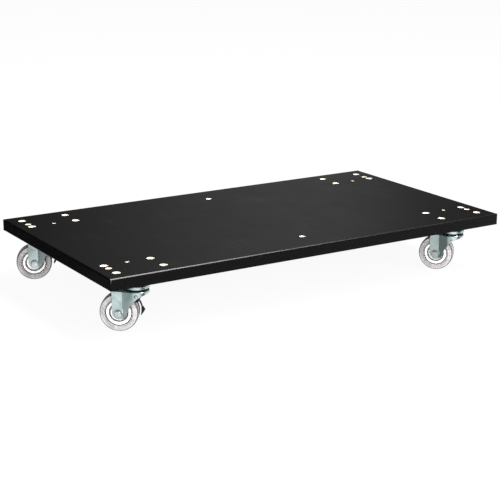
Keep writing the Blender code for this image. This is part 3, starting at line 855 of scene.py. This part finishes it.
def fork():
    """The pressed fork in one sheet, with a raised ball race round the king pin's bore."""
    low = 20 * MM
    inner_rear = LEG_REAR - 10 * MM
    outer = prism(fork_plan(CROWN_RADIUS, LEG_OUTER, LEG_REAR), low, CROWN_TOP)
    outer = crown_rounded(outer, CROWN_TOP, LEG_REAR, 4 * MM, 9)
    ceiling = CROWN_TOP - SHEET
    inner = prism(fork_plan(CROWN_RADIUS - SHEET, LEG_OUTER - SHEET, inner_rear), low - 5 * MM, ceiling)
    inner = crown_rounded(inner, ceiling, inner_rear, 1.5 * MM, 4)
    race = lathe(
        rounded(
            [
                (5 * MM, RACE_TOP, 0),
                (20.3 * MM, RACE_TOP, 1.2 * MM),
                (21.5 * MM, CROWN_TOP + 0.4 * MM, 1.5 * MM),
                (23.5 * MM, CROWN_TOP - 0.5 * MM, 0),
                (23.5 * MM, CROWN_TOP - MM, 0),
                (5 * MM, CROWN_TOP - MM, 0),
            ]
        ),
        96,
    )
    mesh = joined_to(cut(outer, inner), race)
    mesh = combine(mesh, side_prism(fork_side(), LEG_OUTER + 20 * MM), "INTERSECT")
    leg = LEG_OUTER + 10 * MM
    axle_hole = moved(across(rod(AXLE_HOLE, -leg, leg, 40)), Matrix.Translation((-TRAIL, 0, AXLE.z)))
    pivot_hole = moved(across(rod(PIVOT_HOLE, -leg, leg, 32)), Matrix.Translation(BRAKE_PIVOT))
    bore = rod(PIN_RADIUS + PLAY, CROWN_TOP - 2 * SHEET, RACE_TOP + MM, 48)
    return softened(cut(mesh, axle_hole, pivot_hole, bore), 0.35 * MM, 2, 55)


# ---------------------------------------------------------------- wheel and axle


def both_halves(upper):
    """A closed profile from its upper half, listed from the bore outwards."""
    return rounded(upper + [(r, -z, c) for r, z, c in reversed(upper)])


def wheel_rim():
    """Hub, recessed web, inner groove, raised ring and a deep groove inside the tyre's seat."""
    upper = [
        (HUB_BORE, HUB_HALF, 0.5 * MM),
        (9.4 * MM, HUB_HALF, 0.6 * MM),
        (10.6 * MM, 14.4 * MM, 1.5 * MM),
        (16.6 * MM, 12.8 * MM, 0.8 * MM),
        (17.4 * MM, 7.5 * MM, 0.5 * MM),
        (19.2 * MM, 7.5 * MM, 0.5 * MM),
        (20.2 * MM, 14.2 * MM, 1.2 * MM),
        (25.4 * MM, 14.6 * MM, 1.2 * MM),
        (26.2 * MM, 8.5 * MM, 0.5 * MM),
        (27.9 * MM, 8.5 * MM, 0.5 * MM),
        (28.2 * MM, 13.4 * MM, 0.3 * MM),
        (29 * MM, 13.4 * MM, 0.3 * MM),
    ]
    return across(lathe(both_halves(upper), 120))


def tyre():
    """A solid tyre: a bead lip at the rim, slightly dished sides, rounded shoulders, crowned tread."""
    upper = [
        (TYRE_INNER, 13.6 * MM, 0.3 * MM),
        (30.2 * MM, 15.4 * MM, 0.7 * MM),
        (32 * MM, 15.4 * MM, 0.8 * MM),
        (32.8 * MM, 14.9 * MM, 0.8 * MM),
        (37 * MM, 15.6 * MM, 2.5 * MM),
        (39.3 * MM, 12.6 * MM, 2.5 * MM),
        (WHEEL_RADIUS, 6 * MM, 10 * MM),
    ]
    return across(lathe(both_halves(upper), 144))


def hexagon(radius, low, high):
    """A hexagon prism with both ends' corners turned off."""
    flat = radius * cos(pi / 6)
    drop = (radius - flat) * 0.6
    outside = radius + 0.1 * MM
    lower = [(0, low), (flat, low), (outside, low + drop)]
    upper = [(outside, high - drop), (flat, high), (0, high)]
    turned_off = lathe(lower + upper, 48, closed=False)
    return cleaned(combine(rod(radius, low, high, 6), turned_off, "INTERSECT"))


def axle_bolt():
    """A hexagon bolt with a washer face and its spacer sleeve, head at -Y."""
    inside = LEG_OUTER - SHEET - GAP
    seat = -LEG_OUTER - GAP
    end = 29 * MM
    threads = [(4 * MM - (0.4 * MM if k % 2 else 0), end - MM - k * 0.6 * MM) for k in range(12)]
    profile = [
        (0, end),
        (3.2 * MM, end),
        *threads,
        (4 * MM, inside + 0.2 * MM),
        (6 * MM, inside),
        (6 * MM, -inside),
        (4 * MM, -inside),
        (4 * MM, seat),
        (7.3 * MM, seat),
        (7.3 * MM, seat - 0.7 * MM),
        (0, seat - 0.7 * MM),
    ]
    head = hexagon(HEX_RADIUS, seat - 5.3 * MM, seat - 0.4 * MM)
    shank = lathe(profile, 48, closed=False)
    return across(cleaned(joined_to(shank, head)))


def axle_nut():
    """A lock nut: hexagon with turned-off corners and a round collar."""
    low = LEG_OUTER + GAP
    body = hexagon(HEX_RADIUS, low, low + 5.4 * MM)
    collar = rod(6 * MM, low + 4 * MM, low + 6.5 * MM, 48)
    bore = rod(AXLE_HOLE, low - MM, low + 8 * MM, 40)
    return across(cleaned(cut(joined_to(body, collar), bore)))


# ---------------------------------------------------------------- brake


def brake_corners(points, round_to=0.0):
    """Corners in the pivot's frame, given in mm outside the tread and degrees about the wheel's axis."""
    corners = []
    for outside, angle in points:
        radius = WHEEL_RADIUS + outside * MM
        x = radius * cos(radians(angle)) - TRAIL - BRAKE_PIVOT.x
        z = radius * sin(radians(angle)) + AXLE.z - BRAKE_PIVOT.z
        corners.append((x, z, round_to))
    return corners


def brake_shoe():
    """Outline of the lever's round hub and the shoe that presses on the tread."""
    hub = [(x, z, 0) for x, z in arc(0, 0, 4.2 * MM, 200, -20, 28)]
    shoe = brake_corners([(12.8, 37)], 2 * MM)
    shoe += brake_corners([(7.8, 31), (6.2, 30)])
    shoe += brake_corners([(0.8, 33), (0.8, 40)], 0.8 * MM)
    return rounded(hub + shoe)


def brake_strap():
    """Outline of the thin strap that curves round the tread."""
    turns = range(35, 9, -2)
    return rounded(brake_corners([(7.8, a) for a in turns] + [(6.2, a) for a in reversed(turns)]))


def brake_toe():
    """Outline of the toe, with ridges on its upper side."""
    ridges = [(8.0, 12.4), (9.2, 9.9), (9.0, 9.4), (10.2, 7.2), (10.0, 6.7), (11.2, 5.2)]
    toe = brake_corners(ridges, 0.2 * MM)
    toe += brake_corners([(11.6, 4.2), (11.2, 2.8)], 0.8 * MM)
    toe += brake_corners([(8.8, -1), (6.4, -5.2)], 2 * MM)
    toe += brake_corners([(4.8, -8), (4.0, -7.6)], 0.3 * MM)
    toe += brake_corners([(4.9, 0), (5.4, 5)], 3 * MM)
    toe += brake_corners([(6.2, 13), (7.8, 13)])
    return rounded(toe)


def brake_pedal():
    """A lever round the tread: a wide hub with its shoe, a narrow curved strap, a ridged toe."""
    wide = softened(side_prism(brake_shoe(), PEDAL_HALF), 0.6 * MM, 3, 60)
    lever = softened(side_prism(brake_strap(), STRAP_HALF), 0.3 * MM, 2, 60)
    toe = softened(side_prism(brake_toe(), TOE_HALF), 0.4 * MM, 2, 60)
    bore = across(rod(PIVOT_HOLE, -PEDAL_HALF - MM, PEDAL_HALF + MM, 32))
    return cleaned(cut(joined_to(wide, lever, toe), bore))


def brake_pin():
    """The rivet on which the brake pedal turns, with a domed head at each end."""
    seat = CROWN_RADIUS + GAP
    end = 28.5 * MM
    upper = [
        (0, end),
        (1.8 * MM, end - 0.1 * MM),
        (2.9 * MM, end - 0.4 * MM),
        (3.5 * MM, end - 0.9 * MM),
        (3.5 * MM, seat),
        (2.2 * MM, seat),
    ]
    return across(lathe(upper + [(r, -z) for r, z in reversed(upper)], 40, closed=False))


# ---------------------------------------------------------------- casters


def caster_matrix(caster):
    """From a caster's own axes to the frame's."""
    swivel = Vector(joints[caster + "_swivel"]["pos_m"])
    along_axle = Vector(joints[caster + "_wheel_spin"]["axis"])
    lead = along_axle.cross(UP)
    turn = Matrix((lead, along_axle, UP)).transposed().to_4x4()
    return Matrix.Translation((swivel.x, swivel.y, 0)) @ turn


def caster_parts():
    """The pieces of one caster: mesh, material slot and material, by CAD node."""
    sheet_metal = zinc()
    fasteners = steel("zinc_fasteners", (0.52, 0.56, 0.57), (0.70, 0.73, 0.74), 0.2, 0.34)
    greased = steel("greased_steel", (0.30, 0.29, 0.27), (0.45, 0.44, 0.42), 0.22, 0.4)
    return {
        "mount_plate": (mount_plate(), "zinc_plated_sheet", sheet_metal),
        "kingpin": (kingpin(), "plain_steel", greased),
        "fork": (fork(), "zinc_plated_sheet", sheet_metal),
        "ball_ring": (ball_ring(), "plain_steel", greased),
        "axle_bolt": (axle_bolt(), "zinc_fasteners", fasteners),
        "axle_nut": (axle_nut(), "zinc_fasteners", fasteners),
        "wheel_rim": (wheel_rim(), "white_plastic", rim_plastic()),
        "tyre": (tyre(), "grey_tyre", tyre_rubber()),
        "brake_pedal": (brake_pedal(), "black_plastic", pedal_plastic()),
        "brake_pivot_pin": (brake_pin(), "zinc_fasteners", fasteners),
    }


def part_matrix(part, turned_frame):
    """Where a caster's piece goes, given its caster's own axes."""
    if part in ("mount_plate", "kingpin"):
        return Matrix.Translation(turned_frame.translation)
    if part in ("axle_bolt", "axle_nut", "wheel_rim", "tyre"):
        return turned_frame @ Matrix.Translation((-TRAIL, 0, AXLE.z))
    if part.startswith("brake_"):
        return turned_frame @ Matrix.Translation(BRAKE_PIVOT)
    return turned_frame


def add_casters():
    bodies = frame["record"]["behaviour"]["bodies"]
    body_of = {node: body for body, nodes in bodies.items() for node in nodes}
    parts = caster_parts()
    for caster in CASTERS:
        turned_frame = caster_matrix(caster)
        for part, (mesh, slot, material) in parts.items():
            node = f"{caster}_{part}"
            if node not in body_of:
                continue
            matrix = part_matrix(part, turned_frame)
            sharp = FORK_SHARP if part == "fork" else 30
            piece(f"{part}_{caster}", mesh, body_of[node], node, material, matrix, sharp)


def add_screws():
    mesh = mount_screw()
    bright = steel("screw_steel", (0.50, 0.52, 0.52), (0.66, 0.68, 0.68), 0.24, 0.38)
    for caster, places in screw_places():
        for number, (x, y) in enumerate(places, 1):
            node = f"{caster}_screw_{number}"
            matrix = Matrix.Translation((x, y, PLATE_BOTTOM))
            piece(f"screw_{number}_{caster}", mesh, "deck", node, bright, matrix)


# ---------------------------------------------------------------- studio

CAMERA_PLACE = (-1.6078, -2.5272, DECK_TOP + 0.7713)
CAMERA_YAW, CAMERA_PITCH, CAMERA_ROLL = radians(-32.334), radians(15.869), radians(0.32)
CAMERA_LENS = 97.09  # mm, which sees 21 degrees on a sensor 36 mm wide
FLAG_SIZE = (0.26, 0.34, 1)
FLAG_PLACE = (-0.67, 0.04, 0)
STRIP_PLACE = (1.27, -1.4, 3.36)
STRIP_SIZE = (1.1, 7.5)


def add_floor():
    bm = bmesh.new()
    bmesh.ops.create_grid(bm, x_segments=8, y_segments=8, size=30)
    floor = work_object(from_bmesh(bm), "floor")
    floor.location.z = -0.05 * MM
    floor.data.materials.append(studio_floor())
    floor.visible_glossy = False


def add_flag():
    """A black card on the floor beside the deck's left end. It is only ever mirrored: it keeps the
    rear fork's faces from mirroring the bright room."""
    bm = bmesh.new()
    bmesh.ops.create_grid(bm, x_segments=1, y_segments=1, size=0.5)
    flag = work_object(from_bmesh(bm), "flag")
    flag.scale = FLAG_SIZE
    flag.location = FLAG_PLACE
    black = Shader("black_card")
    flag.data.materials.append(black.finish(Base_Color=(0.01, 0.01, 0.01), Roughness=0.9))
    flag.visible_camera = False
    flag.visible_diffuse = False
    flag.visible_shadow = False


def add_camera():
    """A camera that looks at the front and the left end, from above."""
    data = bpy.data.cameras.new("camera")
    data.lens = CAMERA_LENS
    data.sensor_width = 36
    data.clip_end = 100
    camera = bpy.data.objects.new("camera", data)
    bpy.context.scene.collection.objects.link(camera)
    yaw, pitch, roll = CAMERA_YAW, CAMERA_PITCH, CAMERA_ROLL
    back = Vector((sin(yaw) * cos(pitch), -cos(yaw) * cos(pitch), sin(pitch)))
    level = Vector((cos(yaw), sin(yaw), 0))
    upright = back.cross(level)
    right = level * cos(roll) + upright * sin(roll)
    top = upright * cos(roll) - level * sin(roll)
    turn = Matrix((right, top, back)).transposed().to_4x4()
    camera.matrix_world = Matrix.Translation(CAMERA_PLACE) @ turn
    bpy.context.scene.camera = camera


def aim(item, target, along=UP):
    """Turns a light to face its target, with its Y axis as near as may be to a direction."""
    back = (item.location - Vector(target)).normalized()
    across_it = Vector(along).cross(back).normalized()
    turn = Matrix((across_it, back.cross(across_it), back)).transposed()
    item.rotation_mode = "QUATERNION"
    item.rotation_quaternion = turn.to_quaternion()


def add_area_light(name, place, target, size, power, along=UP):
    data = bpy.data.lights.new(name, "AREA")
    data.shape = "RECTANGLE"
    data.size, data.size_y = size
    data.energy = power
    light = bpy.data.objects.new(name, data)
    bpy.context.scene.collection.objects.link(light)
    light.location = place
    aim(light, target, along)


def add_sun(name, towards, strength, width):
    """Parallel light coming from a direction, its source so many degrees wide. Nothing mirrors it:
    it lights matt surfaces and leaves the black deck black from every side."""
    data = bpy.data.lights.new(name, "SUN")
    data.energy = strength
    data.angle = radians(width)
    sun = bpy.data.objects.new(name, data)
    bpy.context.scene.collection.objects.link(sun)
    sun.location = towards
    sun.visible_glossy = False
    aim(sun, (0, 0, 0))


def add_lights():
    """A key from the front right, two fills (one low enough to reach under the deck), and a long
    strip that glints on the front edge."""
    add_sun("front_key", (0.36, -0.80, 0.36), 1.2, 14)
    add_sun("camera_fill", (-0.5, -0.8, 0.5), 1.9, 30)
    add_sun("low_fill", (-0.80, -0.58, 0.10), 1.6, 20)
    add_area_light("strip", STRIP_PLACE, (0, 0, 0), STRIP_SIZE, 560, (0, 1, 0.4))


class Sky:
    """Short calls that build the world's nodes; every value depends on the direction looked in."""

    def __init__(self, name):
        world = bpy.data.worlds.new(name)
        world.use_nodes = True
        bpy.context.scene.world = world
        self.nodes, self.links = world.node_tree.nodes, world.node_tree.links
        self.place = self.nodes.new("ShaderNodeTexCoord").outputs["Generated"]
        direction = self.nodes.new("ShaderNodeSeparateXYZ")
        self.links.new(self.place, direction.inputs[0])
        self.x, self.y, self.height = direction.outputs

    def spread(self, value, low, high, to_low, to_high):
        """The value's range low..high spread smoothly over to_low..to_high, and held outside it."""
        node = self.nodes.new("ShaderNodeMapRange")
        node.interpolation_type = "SMOOTHSTEP"
        self.links.new(value, node.inputs["Value"])
        node.inputs["From Min"].default_value = low
        node.inputs["From Max"].default_value = high
        node.inputs["To Min"].default_value = to_low
        node.inputs["To Max"].default_value = to_high
        return node.outputs["Result"]

    def chain(self, operation, first, *others):
        for other in others:
            node = self.nodes.new("ShaderNodeMath")
            node.operation = operation
            self.links.new(first, node.inputs[0])
            self.links.new(other, node.inputs[1])
            first = node.outputs[0]
        return first

    def times(self, *values):
        return self.chain("MULTIPLY", *values)

    def plus(self, *values):
        return self.chain("ADD", *values)

    def towards(self, vector):
        """How far the direction looked in goes along a vector."""
        node = self.nodes.new("ShaderNodeVectorMath")
        node.operation = "DOT_PRODUCT"
        self.links.new(self.place, node.inputs[0])
        node.inputs[1].default_value = vector
        return node.outputs["Value"]

    def show(self, strength):
        """Uses the strength for light and mirror images; the camera itself sees plain white."""
        seen = self.nodes.new("ShaderNodeMix")
        camera = self.nodes.new("ShaderNodeLightPath").outputs["Is Camera Ray"]
        self.links.new(camera, seen.inputs["Factor"])
        self.links.new(strength, seen.inputs["A"])
        seen.inputs["B"].default_value = 1.0
        background = self.nodes["Background"]
        background.inputs["Color"].default_value = (1, 1, 1, 1)
        self.links.new(seen.outputs["Result"], background.inputs["Strength"])


def light_below(sky):
    """Below the horizon: bright in front, less so on its right, and lit again behind and far right."""
    front = sky.times(
        sky.spread(sky.y, -0.8, -0.4, 1.25, 0.6),
        sky.spread(sky.y, -0.25, 0.15, 1.0, 0.03),
        sky.spread(sky.x, -0.1, 0.4, 1.0, 0.1),
    )
    rear = sky.times(sky.spread(sky.y, 0.35, 0.75, 0.0, 0.6), sky.spread(sky.x, -0.2, 0.1, 0.0, 1.0))
    right = sky.spread(sky.x, 0.62, 0.85, 0.0, 0.9)
    return sky.times(sky.plus(front, rear, right), sky.spread(sky.height, -0.05, 0.05, 1.0, 0.0))


def low_front_light(sky):
    """A bright band in front, above the horizon, that the forks' rounded crowns mirror."""
    return sky.times(
        sky.spread(sky.y, -0.6, -0.3, 0.6, 0.0),
        sky.spread(sky.x, 0.0, 0.25, 1.0, 0.0),
        sky.spread(sky.height, -0.05, 0.05, 0.0, 1.0),
        sky.spread(sky.height, 0.4, 0.6, 1.0, 0.0),
    )


def glow_beyond(sky):
    """A pale glow beyond the deck, growing to the right and then ending, that the deck's top mirrors."""
    middle = radians(54)
    sideways = sky.towards((sin(middle), -cos(middle), 0))
    return sky.times(
        sky.spread(sideways, -0.28, 0.05, 0.0, 0.48),
        sky.spread(sideways, 0.01, 0.07, 1.0, 0.0),
        sky.spread(sky.towards((cos(middle), sin(middle), 0)), 0.2, 0.6, 0.0, 1.0),
        sky.spread(sky.height, 0.4, 0.7, 1.0, 0.0),
    )


def add_world():
    sky = Sky("studio")
    overhead = sky.spread(sky.height, 0.5, 0.98, 0.0, 0.8)
    sky.show(sky.plus(overhead, glow_beyond(sky), low_front_light(sky), light_below(sky)))


add_deck()
add_casters()
add_screws()
add_floor()
add_flag()
add_camera()
add_lights()
add_world()
bpy.context.scene.view_settings.view_transform = "Standard"
